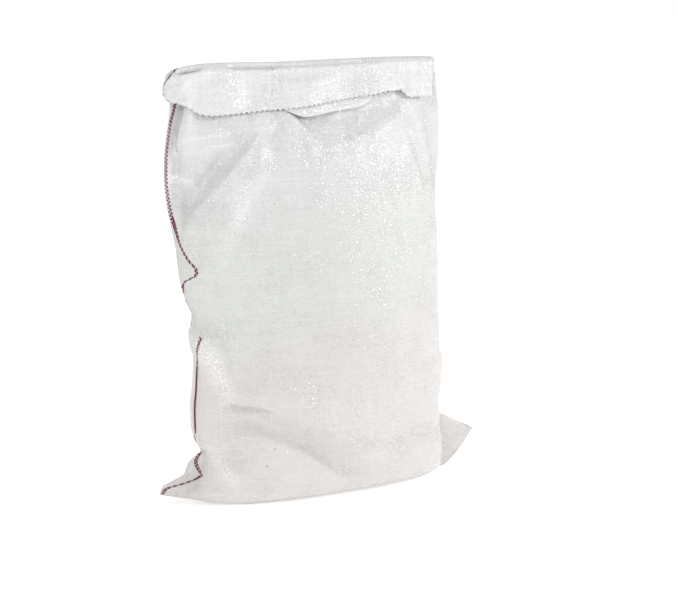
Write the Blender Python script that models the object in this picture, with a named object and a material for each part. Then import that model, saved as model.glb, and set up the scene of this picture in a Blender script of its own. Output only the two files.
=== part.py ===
"""A filled rubble sack of woven polypropylene, standing upright with its mouth folded over.

Metres, +Z up. The origin is on the floor, under the middle of the sack's box. The front
panel faces -Y and the side fold with the coloured tracer tapes is at -X. Tables give a
dimension by height, or by the distance across where they say so.
"""

import bmesh
import bpy
import numpy as np

# Wall of the cloth, thicker than the real one so that the solid stays sound
CLOTH_WALL = 0.0012

# Half depth of the filled body, and the squareness of its level section on either side
BODY_DEPTH = (
    (0.000, 0.050), (0.012, 0.077), (0.024, 0.090), (0.040, 0.099), (0.060, 0.104), (0.090, 0.106),
    (0.160, 0.106), (0.250, 0.101), (0.360, 0.093), (0.470, 0.080), (0.560, 0.064), (0.630, 0.043),
    (0.680, 0.019), (0.706, 0.003),
)
LEFT_SQUARENESS = (
    (0.000, 1.50), (0.030, 1.75), (0.060, 2.10), (0.100, 2.40), (0.160, 2.45), (0.250, 2.30),
    (0.360, 2.20), (0.470, 2.10), (0.560, 2.00), (0.706, 2.00),
)
RIGHT_SQUARENESS = (
    (0.000, 3.00), (0.060, 2.80), (0.120, 2.60), (0.250, 2.35), (0.360, 2.20), (0.470, 2.10),
    (0.560, 2.00), (0.706, 2.00),
)

# How far the filled body reaches to each side, and how far the flat fold does
LEFT_BODY = (
    (0.000, 0.262), (0.012, 0.252), (0.030, 0.240), (0.060, 0.230), (0.086, 0.223), (0.105, 0.233),
    (0.160, 0.239), (0.243, 0.234), (0.286, 0.240), (0.314, 0.235), (0.345, 0.247), (0.413, 0.261),
    (0.500, 0.271), (0.545, 0.270), (0.610, 0.255), (0.665, 0.247), (0.706, 0.256),
)
LEFT_FOLD = (
    (0.000, 0.302), (0.019, 0.297), (0.040, 0.270), (0.060, 0.255), (0.090, 0.230), (0.105, 0.236),
    (0.160, 0.241), (0.243, 0.236), (0.286, 0.242), (0.314, 0.237), (0.345, 0.249), (0.413, 0.263),
    (0.500, 0.279), (0.545, 0.283), (0.600, 0.279), (0.660, 0.271), (0.706, 0.269),
)
RIGHT_BODY = (
    (0.000, 0.209), (0.030, 0.214), (0.090, 0.211), (0.130, 0.211), (0.200, 0.217), (0.275, 0.212),
    (0.434, 0.210), (0.520, 0.201), (0.610, 0.188), (0.650, 0.184), (0.706, 0.190),
)
RIGHT_FOLD = (
    (0.000, 0.296), (0.038, 0.284), (0.063, 0.269), (0.087, 0.243), (0.110, 0.217), (0.130, 0.214),
    (0.200, 0.219), (0.275, 0.214), (0.434, 0.214), (0.568, 0.217), (0.639, 0.215), (0.706, 0.203),
)
FIN_HALF = 0.0028
FIN_LEAST = 0.006
FIN_SHARES = (0.15, 0.55)

# The flat corners rise off the floor: root, tip and rise
EAR_HEIGHT = 0.105
LEFT_EAR = (0.215, 0.302, 0.028)
RIGHT_EAR = (0.240, 0.296, 0.060)

# Main folds of the filled front, as widths and heights along (across, height) paths.
# A ridge stands out, a hollow sinks in, and a ledge stands out on one side and sinks beyond it.
VALLEY_WIDTH = 0.030
VALLEY_DEPTH = -0.019
VALLEY = ((-0.105, 0.660), (-0.150, 0.628), (-0.195, 0.585), (-0.238, 0.538), (-0.272, 0.488))
RIDGE_WIDTH = 0.016
RIDGE_HEIGHT = 0.005
RIDGE = ((-0.110, 0.640), (-0.140, 0.592), (-0.182, 0.546), (-0.228, 0.508), (-0.250, 0.465))
SHOULDER_WIDTH = 0.018
SHOULDER_HEIGHT = 0.006
SHOULDER = ((-0.240, 0.300), (-0.227, 0.268), (-0.215, 0.231), (-0.195, 0.195))
TROUGH_WIDTH = 0.026
TROUGH_HEIGHT = 0.006
TROUGH = ((-0.215, 0.184), (-0.130, 0.155), (-0.075, 0.120), (-0.020, 0.080), (0.040, 0.045))
DENT_DEPTH = -0.014
DENT_LIP = 0.012
DENT_FADE = 0.070
DENT_RIM = (
    (-0.085, 0.655), (-0.078, 0.634), (-0.058, 0.606), (-0.034, 0.590), (-0.010, 0.587),
    (0.020, 0.594), (0.055, 0.606), (0.085, 0.620), (0.118, 0.640), (0.135, 0.655),
)
PATH_ENDS = 0.2
FOLD_SHARE = 0.7

# Sewn bottom seam, in a shallow groove under the sack, and its thread
SEAM_HALF = 0.0006
SEAM_RAISE = 0.0026
SEAM_VALLEY = 0.010
SEAM_PINCH = 0.3
VALLEY_PINCH = 0.6
THREAD_RADIUS = 0.0006
THREAD_CLEARANCE = 0.0004
THREAD_ENDS = (-0.205, 0.205)
THREAD_SIDES = 6

# Top fold and the flap that hangs in front of the sack: crest, hem and lining by the distance across
NECK = 0.706
NECK_START = 0.600
FOLD_RADIUS = 0.011
CREST = (
    (-0.292, 0.698), (-0.274, 0.709), (-0.240, 0.717), (-0.210, 0.719), (-0.095, 0.717), (0.115, 0.7195),
    (0.200, 0.719),
)
FLAP_ENDS = (-0.291, 0.193)
FLAP_HEM = (
    (-0.291, 0.676), (-0.279, 0.664), (-0.256, 0.657), (-0.230, 0.642), (-0.187, 0.640), (-0.078, 0.646),
    (0.070, 0.661), (0.127, 0.665), (0.146, 0.654), (0.193, 0.654),
)
LINING_DROP = ((-0.291, 0.0), (-0.086, 0.0), (-0.050, 0.015), (0.037, 0.015), (0.080, 0.0), (0.193, 0.0))
FLAP_CLEARANCE = 0.0030

# Tracer tapes beside the left side fold
TAPE_WIDTH = 0.0028
TAPE_THICK = 0.0004
TAPE_GAP = 0.0008
TAPE_COLUMNS = 8

# The fill
FILL_GAP = 0.0025
FILL_SEAT = 0.0004
FILL_TOP = 0.600

# Fineness of the solids
FLOOR_LEVELS = (0.000, 0.012, 0.024, 0.040, 0.060, 0.085, 0.110)
BODY_ROWS = 22
BEND_ROWS = 5
FLAP_ROWS = 4
PANEL_COLUMNS = 26
SLOPE_STEP = 0.004
MOST_LEAN = 1.5
SHARP_ANGLE = 0.9


def clear_scene():
    """Remove whatever the file holds."""
    for item in list(bpy.data.objects):
        bpy.data.objects.remove(item, do_unlink=True)


def steady(x, table):
    """A smooth curve through a table's points that never swings past them."""
    xs, ys = np.array(table).T
    step = np.diff(xs)
    rise = np.diff(ys) / step
    same = rise[1:] * rise[:-1] > 0
    both = np.where(same, rise[1:] + rise[:-1], 1.0)
    slope = np.zeros_like(xs)
    slope[1:-1] = np.where(same, 2 * rise[1:] * rise[:-1] / both, 0.0)
    slope[0] = rise[0]
    slope[-1] = rise[-1]
    x = np.clip(x, xs[0], xs[-1])
    k = np.clip(np.searchsorted(xs, x, side="right") - 1, 0, len(step) - 1)
    t = (x - xs[k]) / step[k]
    return (
        (1 + 2 * t) * (1 - t) ** 2 * ys[k]
        + t * (1 - t) ** 2 * step[k] * slope[k]
        + t * t * (3 - 2 * t) * ys[k + 1]
        + t * t * (t - 1) * step[k] * slope[k + 1]
    )


def ease(x, low, high):
    """0 below low, 1 above high, and a smooth rise between."""
    t = np.clip((x - low) / (high - low), 0.0, 1.0)
    return t * t * (3 - 2 * t)


def path_distance(x, z, path):
    """Signed distance from a path, positive on its left, and the share of its length reached."""
    start, end = np.array(path[:-1]), np.array(path[1:])
    span = end - start
    length = np.hypot(span[:, 0], span[:, 1])
    from_x, from_z = x[:, None] - start[:, 0], z - start[:, 1]
    t = np.clip((from_x * span[:, 0] + from_z * span[:, 1]) / length ** 2, 0.0, 1.0)
    away = np.hypot(from_x - t * span[:, 0], from_z - t * span[:, 1])
    side = np.sign(span[:, 0] * from_z - span[:, 1] * from_x)
    reached = np.cumsum(length) - length + t * length
    nearest = np.argmin(away, axis=1)
    row = np.arange(len(x))
    return (away * side)[row, nearest], reached[row, nearest] / length.sum()


def fold_height(x, z):
    """How far the front stands out at height z because of its main folds."""
    height = np.zeros_like(x)
    for width, size, path, ledge in (
        (VALLEY_WIDTH, VALLEY_DEPTH, VALLEY, False),
        (RIDGE_WIDTH, RIDGE_HEIGHT, RIDGE, False),
        (SHOULDER_WIDTH, SHOULDER_HEIGHT, SHOULDER, False),
        (TROUGH_WIDTH, TROUGH_HEIGHT, TROUGH, True),
    ):
        s, along = path_distance(x, z, path)
        ends = ease(along, 0.0, PATH_ENDS) * (1 - ease(along, 1 - PATH_ENDS, 1.0))
        bell = np.exp(-((s / width) ** 2))
        height += size * ends * (bell * s / width if ledge else bell)
    s, along = path_distance(x, z, DENT_RIM)
    inside = ease(s, -DENT_LIP, DENT_LIP) * (1 - ease(s, DENT_LIP, DENT_FADE))
    ends = ease(along, 0.0, PATH_ENDS) * (1 - ease(along, 1 - PATH_ENDS, 1.0))
    return height + DENT_DEPTH * inside * ends


def reaches(z):
    """How far the body and the fold reach to the left and to the right at height z."""
    folds = steady(z, LEFT_FOLD), steady(z, RIGHT_FOLD)
    left = min(steady(z, LEFT_BODY), folds[0] - FIN_LEAST)
    right = min(steady(z, RIGHT_BODY), folds[1] - FIN_LEAST)
    return left, right, folds


def drawn_in(corners, inset):
    """A closed outline with every side moved inwards by the same distance."""
    side = np.roll(corners, -1, axis=0) - corners
    normal = np.stack([side[:, 1], -side[:, 0]], axis=1)
    normal /= np.linalg.norm(normal, axis=1, keepdims=True)
    before = np.roll(normal, 1, axis=0)
    meeting = 1 + (before * normal).sum(axis=1, keepdims=True)
    return corners + inset * (before + normal) / meeting


def lean(z):
    """How much longer a level step through the wall is than the wall's own thickness."""
    slope = (steady(z + SLOPE_STEP, BODY_DEPTH) - steady(z - SLOPE_STEP, BODY_DEPTH)) / (2 * SLOPE_STEP)
    return min(np.hypot(1.0, slope), MOST_LEAN)


def outline(z, inset=0.0):
    """Half of a level section: points across, and how far the filled body stands out there."""
    left, right, _ = reaches(z)
    angle = np.linspace(0.0, np.pi, PANEL_COLUMNS + 1)[1:-1]
    c, s = np.cos(angle), np.sin(angle)
    n = np.where(c > 0, steady(z, LEFT_SQUARENESS), steady(z, RIGHT_SQUARENESS))
    half = (left + right) / 2 - inset
    x = (right - left) / 2 - half * np.sign(c) * np.abs(c) ** (2 / n)
    return x, (steady(z, BODY_DEPTH) - inset) * s ** (2 / n)


def closed_ring(left, right, x, front, back):
    """Corners of a closed section: its left end, its front, its right end and its back."""
    across = np.concatenate([[-left], x, [right], x[::-1]])
    outward = np.concatenate([[0.0], front, [0.0], -back[::-1]])
    return np.stack([across, outward], axis=1)


def cloth_ring(z, inset):
    """The cloth's section: the body's outline with a flat fold at either side."""
    left, right, (left_fold, right_fold) = reaches(z)
    x, depth = outline(z)
    back = np.cbrt(depth ** 3 + FIN_HALF ** 3)
    front = back + np.maximum(fold_height(x, z), FOLD_SHARE * (FIN_HALF - back))
    share = np.array(FIN_SHARES)
    out_left = -(left + (left_fold - left) * share[::-1])
    out_right = right + (right_fold - right) * share
    flat = np.full(len(share), FIN_HALF)
    x = np.concatenate([out_left, x, out_right])
    front = np.concatenate([flat, front, flat])
    back = np.concatenate([flat, back, flat])
    corners = closed_ring(left_fold, right_fold, x, front, back)
    return drawn_in(corners, inset * lean(z)) if inset else corners


def fill_ring(z):
    """The fill's section, which stays clear of the cloth on every side."""
    inset = (CLOTH_WALL + FILL_GAP) * lean(z)
    left, right, _ = reaches(z)
    x, back = outline(z, inset)
    front = back + np.maximum(fold_height(x, z), -FOLD_SHARE * back)
    return closed_ring(left - inset, right - inset, x, front, back)


def ear_rise(x, z):
    """How far the flat corners rise at x, less and less for the rows higher up."""
    rise = np.zeros_like(x)
    for side, (root, tip, height) in ((-1, LEFT_EAR), (1, RIGHT_EAR)):
        rise += height * np.clip((side * x - root) / (tip - root), 0.0, 1.0)
    return rise * np.clip(1 - z / EAR_HEIGHT, 0.0, 1.0)


def neck_height(x):
    """Height of the sack's neck at x, below the crest of the fold."""
    return steady(x, CREST) - FOLD_RADIUS


def in_space(corners, z, clear=0.0):
    """A section of the body as points in space, its corners lifted at the ears and the neck."""
    across, outward = corners.T
    rise = ear_rise(across + clear * np.sign(across), z)
    height = z + rise + (neck_height(across) - NECK) * ease(z, NECK_START, NECK)
    return np.stack([across, -outward, height], axis=1)


def flap_across(x, share):
    """The mouth widens a little as it folds over: x moves towards the flap's own two ends."""
    left, right = LEFT_FOLD[-1][1], RIGHT_FOLD[-1][1]
    wide = FLAP_ENDS[0] + (FLAP_ENDS[1] - FLAP_ENDS[0]) * (x + left) / (left + right)
    return x + (wide - x) * share


def bend_row(turn, inset=0.0):
    """A section of the flattened mouth on the half circle that folds it forwards."""
    x, outward = cloth_ring(NECK, inset).T
    across = flap_across(x, turn / np.pi)
    reach = FOLD_RADIUS - outward
    y = -FOLD_RADIUS + reach * np.cos(turn)
    return np.stack([across, y, neck_height(across) + reach * np.sin(turn)], axis=1)


def front_depth(x, z):
    """How far the undented front of the body stands out at points of its width and height."""
    left, right = steady(z, LEFT_BODY), steady(z, RIGHT_BODY)
    aside = (2 * x - right + left) / (left + right)
    n = np.where(aside < 0, steady(z, LEFT_SQUARENESS), steady(z, RIGHT_SQUARENESS))
    share = np.clip(np.abs(aside), 0.0, 1.0)
    return steady(z, BODY_DEPTH) * (1 - share ** n) ** (1 / n)


def flap_row(share, inset=0.0):
    """A section of the hanging flap: it follows the front of the body with a small clearance."""
    x, outward = cloth_ring(NECK, inset).T
    across = flap_across(x, 1.0)
    top = neck_height(across)
    hem = steady(across, FLAP_HEM) - np.where(outward > 0, steady(across, LINING_DROP), 0.0)
    height = top - (top - hem) * share
    resting = front_depth(across, height) + FLAP_CLEARANCE + FIN_HALF + CLOTH_WALL
    y = -np.maximum(2 * FOLD_RADIUS, resting) + outward
    return np.stack([across, y, height], axis=1)


def body_levels():
    """Heights of the body's rows: close together near the floor, then even steps."""
    high = np.linspace(FLOOR_LEVELS[-1], NECK, BODY_ROWS + 1)[1:]
    return np.concatenate([FLOOR_LEVELS, high])


def cloth_rows(inset=0.0):
    """All rings of the cloth, from the floor up, over the fold and down the flap."""
    rows = [in_space(cloth_ring(z, inset), z) for z in body_levels()]
    for turn in np.linspace(0.0, np.pi, BEND_ROWS + 2)[1:]:
        rows.append(bend_row(turn, inset))
    for share in np.linspace(0.0, 1.0, FLAP_ROWS + 1)[1:]:
        rows.append(flap_row(share, inset))
    return rows


def seam_rows():
    """The rings under the sack: the raised sewn seam, and the groove beside it."""
    floor = in_space(cloth_ring(0.0, 0.0), 0.0)
    out, side = np.abs(floor[:, 1]), np.sign(floor[:, 1])
    seam, valley = floor.copy(), floor.copy()
    seam[:, 1] = side * np.minimum(out * SEAM_PINCH, SEAM_HALF)
    seam[:, 2] += SEAM_RAISE
    valley[:, 1] = side * np.minimum(out * VALLEY_PINCH, SEAM_VALLEY)
    tips = [0, len(floor) // 2]
    for row, step, raised in ((seam, SEAM_RAISE, SEAM_RAISE), (valley, SEAM_RAISE / 2, 0.0)):
        row[tips, 0] -= step * np.sign(row[tips, 0])
        row[tips, 2] = ear_rise(row[tips, 0], 0.0) + raised
    return [seam, valley]


def quads_between(first, second, count):
    """Side faces between two rings of vertex numbers."""
    return [
        (first + k, first + (k + 1) % count, second + (k + 1) % count, second + k)
        for k in range(count)
    ]


def cap_faces(first, count, facing_down):
    """Faces across a ring from its front half to its back half."""
    faces = []
    half = count // 2
    for k in range(half):
        a, b = first + k, first + k + 1
        c, d = first + (count - k - 1) % count, first + (count - k) % count
        face = [a, b, c, d] if k not in (0, half - 1) else ([a, b, c] if k == 0 else [a, b, d])
        faces.append(tuple(face[::-1] if facing_down else face))
    return faces


def rings_to_faces(rows):
    """Faces of a closed skin through rings that all have the same number of corners."""
    count = len(rows[0])
    faces = cap_faces(0, count, True)
    for k in range(len(rows) - 1):
        faces += quads_between(k * count, (k + 1) * count, count)
    return faces + cap_faces((len(rows) - 1) * count, count, False)


def mesh_object(name, vertices, faces, material):
    """A new smooth-shaded object from points and faces, in triangles, its normals outwards."""
    mesh = bpy.data.meshes.new(name)
    mesh.from_pydata([tuple(v) for v in vertices], [], faces)
    work = bmesh.new()
    work.from_mesh(mesh)
    bmesh.ops.triangulate(work, faces=work.faces)
    bmesh.ops.recalc_face_normals(work, faces=work.faces)
    work.to_mesh(mesh)
    work.free()
    mesh.materials.append(material)
    mesh.update()
    item = bpy.data.objects.new(name, mesh)
    bpy.context.collection.objects.link(item)
    mesh.shade_smooth()
    mesh.set_sharp_from_angle(angle=SHARP_ANGLE)
    return item


def finish(name, colour, roughness):
    """A plain Principled material."""
    material = bpy.data.materials.new(name)
    material.use_nodes = True
    shader = material.node_tree.nodes["Principled BSDF"]
    shader.inputs["Base Color"].default_value = (*colour, 1.0)
    shader.inputs["Roughness"].default_value = roughness
    shader.inputs["Metallic"].default_value = 0.0
    return material


def woven_sack():
    """The cloth: one thin-walled skin, closed by its seam below and open at its folded mouth."""
    inner = cloth_rows(CLOTH_WALL)
    inner[0][:, 2] += CLOTH_WALL + SEAM_RAISE
    rows = seam_rows() + cloth_rows() + inner[::-1]
    material = finish("woven_white", (0.86, 0.86, 0.85), 0.42)
    return mesh_object("woven_sack", np.concatenate(rows), rings_to_faces(rows), material)


def rubble_fill():
    """The rubble inside, as one plain core that the skin wraps."""
    levels = [z for z in body_levels() if z < FILL_TOP]
    rows = [in_space(fill_ring(z), z, CLOTH_WALL + FILL_GAP) for z in levels]
    rows[0][:, 2] += SEAM_RAISE + CLOTH_WALL + FILL_SEAT
    material = finish("broken_rubble", (0.42, 0.37, 0.33), 0.95)
    return mesh_object("rubble_fill", np.concatenate(rows), rings_to_faces(rows), material)


def bottom_seam_thread():
    """The sewing thread along the bottom seam, in the groove under the sack."""
    centre = SEAM_RAISE - THREAD_RADIUS - THREAD_CLEARANCE
    around = np.arange(THREAD_SIDES) * 2 * np.pi / THREAD_SIDES
    y = THREAD_RADIUS * np.cos(around)
    z = centre + THREAD_RADIUS * np.sin(around)
    ends = [np.stack([np.full(THREAD_SIDES, x), y, z], axis=1) for x in THREAD_ENDS]
    low_end = tuple(range(THREAD_SIDES))[::-1]
    high_end = tuple(range(THREAD_SIDES, 2 * THREAD_SIDES))
    faces = [low_end, high_end] + quads_between(0, THREAD_SIDES, THREAD_SIDES)
    material = finish("sewing_thread", (0.80, 0.79, 0.76), 0.60)
    return mesh_object("bottom_seam_thread", np.concatenate(ends), faces, material)


def along_ring(row, side, distance):
    """The point of a ring at a distance from the left fold, measured along its front or back."""
    columns = [0] + [k if side > 0 else len(row) - k for k in range(1, TAPE_COLUMNS)]
    path = row[columns]
    reach = np.concatenate([[0.0], np.cumsum(np.linalg.norm(np.diff(path, axis=0), axis=1))])
    return np.array([np.interp(distance, reach, path[:, axis]) for axis in range(3)])


def tracer_tape(name, side, material):
    """A coloured tape beside the left fold: side 1 is on the front panel, -1 on the back one."""
    rows = cloth_rows()
    near = np.array([along_ring(row, side, TAPE_GAP) for row in rows])
    far = np.array([along_ring(row, side, TAPE_GAP + TAPE_WIDTH) for row in rows])
    along = np.gradient(near, axis=0)
    out = np.cross(along, far - near) * -side
    out /= np.linalg.norm(out, axis=1, keepdims=True)
    low, high = out * TAPE_GAP, out * (TAPE_GAP + TAPE_THICK)
    corners = np.stack([near + low, far + low, far + high, near + high], axis=1)
    length = len(rows)
    faces = [(3, 2, 1, 0), tuple((length - 1) * 4 + k for k in range(4))]
    for k in range(length - 1):
        faces += quads_between(k * 4, (k + 1) * 4, 4)
    return mesh_object(name, corners.reshape(-1, 3), faces, material)


def centre_on_floor(items):
    """Move every piece so that the box of the whole sack stands over the origin."""
    points = np.array([vertex.co[:] for item in items for vertex in item.data.vertices])
    low, high = points.min(axis=0), points.max(axis=0)
    offset = np.array([(low[0] + high[0]) / 2, (low[1] + high[1]) / 2, low[2]])
    for item in items:
        for vertex in item.data.vertices:
            vertex.co = np.array(vertex.co) - offset


def main():
    clear_scene()
    pieces = [
        woven_sack(),
        rubble_fill(),
        bottom_seam_thread(),
        tracer_tape("red_tracer_tape", 1, finish("tracer_red", (0.45, 0.04, 0.07), 0.45)),
        tracer_tape("blue_tracer_tape", -1, finish("tracer_blue", (0.10, 0.12, 0.38), 0.45)),
    ]
    centre_on_floor(pieces)


main()
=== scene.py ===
"""A filled rubble sack of woven polypropylene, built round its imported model.

Laid out as an add-on whose operators build the sack piece by piece. Lengths are metres.
The front panel faces -Y, the side fold with the coloured tapes is at -X, and the sack
stands on the floor at Z = 0. Run as a script it builds everything in order.
"""

import math

import bpy
import numpy as np
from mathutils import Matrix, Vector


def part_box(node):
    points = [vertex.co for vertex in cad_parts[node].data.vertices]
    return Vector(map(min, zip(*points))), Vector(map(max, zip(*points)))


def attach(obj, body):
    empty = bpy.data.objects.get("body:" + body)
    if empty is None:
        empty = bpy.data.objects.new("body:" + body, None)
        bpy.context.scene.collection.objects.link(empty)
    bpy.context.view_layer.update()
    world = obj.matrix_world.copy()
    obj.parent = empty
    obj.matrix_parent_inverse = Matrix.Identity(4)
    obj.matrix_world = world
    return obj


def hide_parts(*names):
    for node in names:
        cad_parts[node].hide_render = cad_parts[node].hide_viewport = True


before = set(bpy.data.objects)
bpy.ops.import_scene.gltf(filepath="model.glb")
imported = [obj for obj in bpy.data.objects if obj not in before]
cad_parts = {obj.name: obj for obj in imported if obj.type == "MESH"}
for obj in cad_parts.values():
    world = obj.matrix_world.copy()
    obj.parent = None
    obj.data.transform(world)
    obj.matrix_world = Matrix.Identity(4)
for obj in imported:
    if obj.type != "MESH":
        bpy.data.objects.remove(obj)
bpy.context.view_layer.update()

bl_info = {
    "name": "Rubble sack",
    "version": (1, 0, 0),
    "blender": (4, 5, 0),
    "location": "3D View > Sidebar > Rubble sack",
    "description": "Builds a filled, folded-over sack of woven polypropylene",
    "category": "Object",
}

SACK_LOW, SACK_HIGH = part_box("woven_sack")


def metres(*points):
    """Points written in millimetres, turned into metres."""
    return tuple(tuple(part / 1000 for part in point) for point in points)


def crease_table(*rows):
    """Folds from rows of kind, width, height and the path's points, written in millimetres."""
    return tuple((kind, wide / 1000, high / 1000, metres(*path)) for kind, wide, high, *path in rows)


# Lay-flat sack and how finely its cloth is modelled: the front's columns, and rows from below
PANEL = 0.560
FRONT_COLUMNS = 220
BODY_ROWS = 196
BEND_ROWS = 18
FLAP_ROWS = 20
# How much closer the body's rows lie near the floor, and the finer curve behind each column
ROW_CROWDING = 1.15
FINE_STEPS = 4
# Lengths that count as nothing, for distances and for products of two distances
TINY = 1e-9
TINY_AREA = 1e-12

# Depth of the filled body and squareness of its level section on either side, by height.
# The tables read by metres() and crease_table() are in millimetres.
BODY_DEPTH = metres(
    (0, 50), (5, 65), (12, 77), (20, 86), (30, 94), (45, 101), (60, 104), (90, 106), (160, 106),
    (250, 101), (360, 93), (470, 80), (560, 64), (630, 43), (680, 19), (706, 3),
)
LEFT_SQUARENESS = (
    (0.000, 1.50), (0.030, 1.75), (0.060, 2.10), (0.100, 2.40), (0.160, 2.45), (0.250, 2.30),
    (0.360, 2.20), (0.470, 2.10), (0.560, 2.00), (0.706, 2.00),
)
RIGHT_SQUARENESS = (
    (0.000, 3.00), (0.060, 2.80), (0.120, 2.60), (0.250, 2.35), (0.360, 2.20), (0.470, 2.10),
    (0.560, 2.00), (0.706, 2.00),
)

# How far the filled body reaches to each side, by height, and how far the flat fold does
LEFT_BODY = metres(
    (0, 262), (12, 252), (30, 240), (60, 230), (86, 223), (105, 233), (130, 238), (160, 239),
    (205, 235), (243, 234), (268, 240), (286, 242), (303, 236), (314, 235), (326, 239), (345, 247),
    (375, 256), (413, 261), (452, 265), (500, 271), (545, 270), (580, 262), (610, 255), (640, 249),
    (665, 247), (706, 256),
)
LEFT_FOLD = metres(
    (0, 302), (19, 297), (30, 285), (40, 270), (50, 258), (60, 255), (72, 250), (82, 240), (90, 230),
    (97, 231), (105, 236), (130, 240), (160, 241), (205, 237), (243, 236), (268, 242), (286, 244),
    (303, 238), (314, 237), (326, 241), (345, 249), (375, 259), (413, 263), (452, 270), (500, 279),
    (545, 283), (576, 282), (600, 279), (632, 274), (660, 271), (706, 269),
)
RIGHT_BODY = metres(
    (0, 209), (12, 213), (30, 214), (60, 213), (90, 211), (130, 211), (160, 214), (200, 217),
    (225, 214), (275, 212), (296, 211), (371, 211), (434, 210), (475, 206), (520, 201), (560, 195),
    (610, 188), (650, 184), (706, 190),
)
RIGHT_FOLD = metres(
    (0, 296), (38, 284), (63, 269), (87, 243), (95, 230), (101, 221), (110, 215), (130, 213),
    (160, 216), (200, 219), (225, 216), (275, 214), (296, 213), (371, 213), (434, 214), (475, 212),
    (506, 213), (568, 217), (608, 217), (639, 215), (669, 211), (689, 209), (706, 203),
)
# Half thickness where the two panels lie together, by height, then at the folded edge, and
# the distance over which it thins
FIN_HALF = metres((0, 4.5), (90, 3.5), (500, 3), (660, 2.2), (706, 2))
FIN_EDGE = 0.0009
FIN_TAPER = 0.030

# The flat corners rise off the floor: root, tip, rise and how late the rise comes
EAR_HEIGHT = 0.105
LEFT_EAR = (0.150, 0.302, 0.028, 1.6)
RIGHT_EAR = (0.232, 0.296, 0.060, 1.3)

# Sewn bottom seam under the sack: rows from the seam outwards, and how far it is raised and
# drawn in at its ends
SEAM_SHARES = (0.007, 0.06, 0.16, 0.42, 0.74, 1.0)
SEAM_RAISE = 0.0026
SEAM_INSET = 0.03

# Top fold and the flap in front: crest and hem heights, across
NECK = 0.706
FOLD_RADIUS = 0.011
CREST = metres(
    (-292, 698), (-284, 703), (-274, 709), (-262, 713.5), (-240, 717), (-210, 719), (-150, 718.5),
    (-95, 717), (35, 718.5), (115, 719.5), (200, 719),
)
FLAP_LEFT = -0.291
FLAP_RIGHT = 0.193
FLAP_GAP = metres((-291, 0.3), (-120, 0.3), (-70, 1), (110, 1), (150, 0.4))
FLAP_HEM = metres(
    (-291, 676), (-287, 669), (-279, 664), (-271, 661), (-256, 657), (-243, 649), (-230, 642),
    (-211, 639), (-187, 640), (-130, 644), (-78, 646), (-20, 652), (70, 661), (127, 667), (136, 660),
    (146, 654), (193, 654),
)
LINING_DROP = metres(
    (-291, -6), (-100, -5), (-86, 2), (-50, 15), (-5, 15), (37, 15), (68, 9), (80, -4), (193, -6),
)
FLAP_HALF = 0.0026
HEM_HALF = metres((-291, 0.9), (-105, 0.9), (-70, 2.6), (105, 2.6), (130, 0.9))
CLOTH_WALL = 0.0005
TOOTH_DEPTH = 0.0034
MOUTH_SHARES = (0.99, 0.9, 0.75)
FLAP_LOOSE = 0.020
# Height where the rows begin to slope with the neck; shares of the flap's length where it
# has come to rest on the body and where its teeth begin
NECK_SLOPE_FROM = 0.60
FLAP_SETTLES = 0.25
TEETH_FROM = 0.955

# Where the sack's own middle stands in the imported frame
PLACE = np.array([SACK_LOW[0] + LEFT_FOLD[0][1], SACK_HIGH[1] - max(y for _, y in BODY_DEPTH), 0.0])


def steady(x, table):
    """A smooth curve through a table's points that never swings past them.

    Each span is a cubic whose end slopes are the harmonic mean of the slopes beside them.
    """
    xs, ys = np.array(table).T
    step = np.diff(xs)
    rise = np.diff(ys) / step
    same = rise[1:] * rise[:-1] > 0
    both = np.where(same, rise[1:] + rise[:-1], 1.0)
    slope = np.zeros_like(xs)
    slope[1:-1] = np.where(same, 2 * rise[1:] * rise[:-1] / both, 0.0)
    slope[0], slope[-1] = rise[0], rise[-1]
    x = np.clip(x, xs[0], xs[-1])
    k = np.clip(np.searchsorted(xs, x, side="right") - 1, 0, len(step) - 1)
    t = (x - xs[k]) / step[k]
    return (
        (1 + 2 * t) * (1 - t) ** 2 * ys[k]
        + t * (1 - t) ** 2 * step[k] * slope[k]
        + t * t * (3 - 2 * t) * ys[k + 1]
        + t * t * (t - 1) * step[k] * slope[k + 1]
    )


def ease(x, low, high):
    """0 below low, 1 above high, and a smooth rise between."""
    t = np.clip((x - low) / (high - low), 0.0, 1.0)
    return t * t * (3 - 2 * t)


def plateau(x, start, full, fading, end):
    """0 outside start and end, 1 between full and fading, and smooth on both slopes."""
    return ease(x, start, full) * (1 - ease(x, fading, end))


def shares(count):
    """That many equal steps up to 1, without the 0."""
    return np.linspace(0.0, 1.0, count + 1)[1:]


def row_heights(rows):
    """Heights of the body's rows: equal shares raised to a power, so they crowd near the floor."""
    return NECK * shares(rows) ** ROW_CROWDING


def bend_turns(rows):
    """Angles of the rows over the top: half a turn in equal steps."""
    return np.linspace(0.0, np.pi, rows + 1)[1:, None]


def body_depth(x, z):
    """Half depth of the filled body at x and z: a superellipse between its two side reaches."""
    left, right = steady(z, LEFT_BODY), steady(z, RIGHT_BODY)
    aside = (2 * x - right + left) / (left + right)
    n = np.where(aside < 0, steady(z, LEFT_SQUARENESS), steady(z, RIGHT_SQUARENESS))
    share = np.clip(np.abs(aside), 0.0, 1.0)
    return steady(z, BODY_DEPTH) * (1 - share ** n) ** (1 / n)


def fin_depth(x, z):
    """Half thickness of the flat edge beyond the body: it thins to nothing at the fold itself."""
    edge = np.minimum(x + steady(z, LEFT_FOLD), steady(z, RIGHT_FOLD) - x)
    half = FIN_EDGE + (steady(z, FIN_HALF) - FIN_EDGE) * ease(edge, 0.0, FIN_TAPER)
    return np.where(edge > TINY, half, 0.0)


def plain_depth(x, z):
    """Half depth of the unfolded sack: the cube root of the body's and the edge's cubes summed."""
    return np.cbrt(body_depth(x, z) ** 3 + fin_depth(x, z) ** 3)


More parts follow.
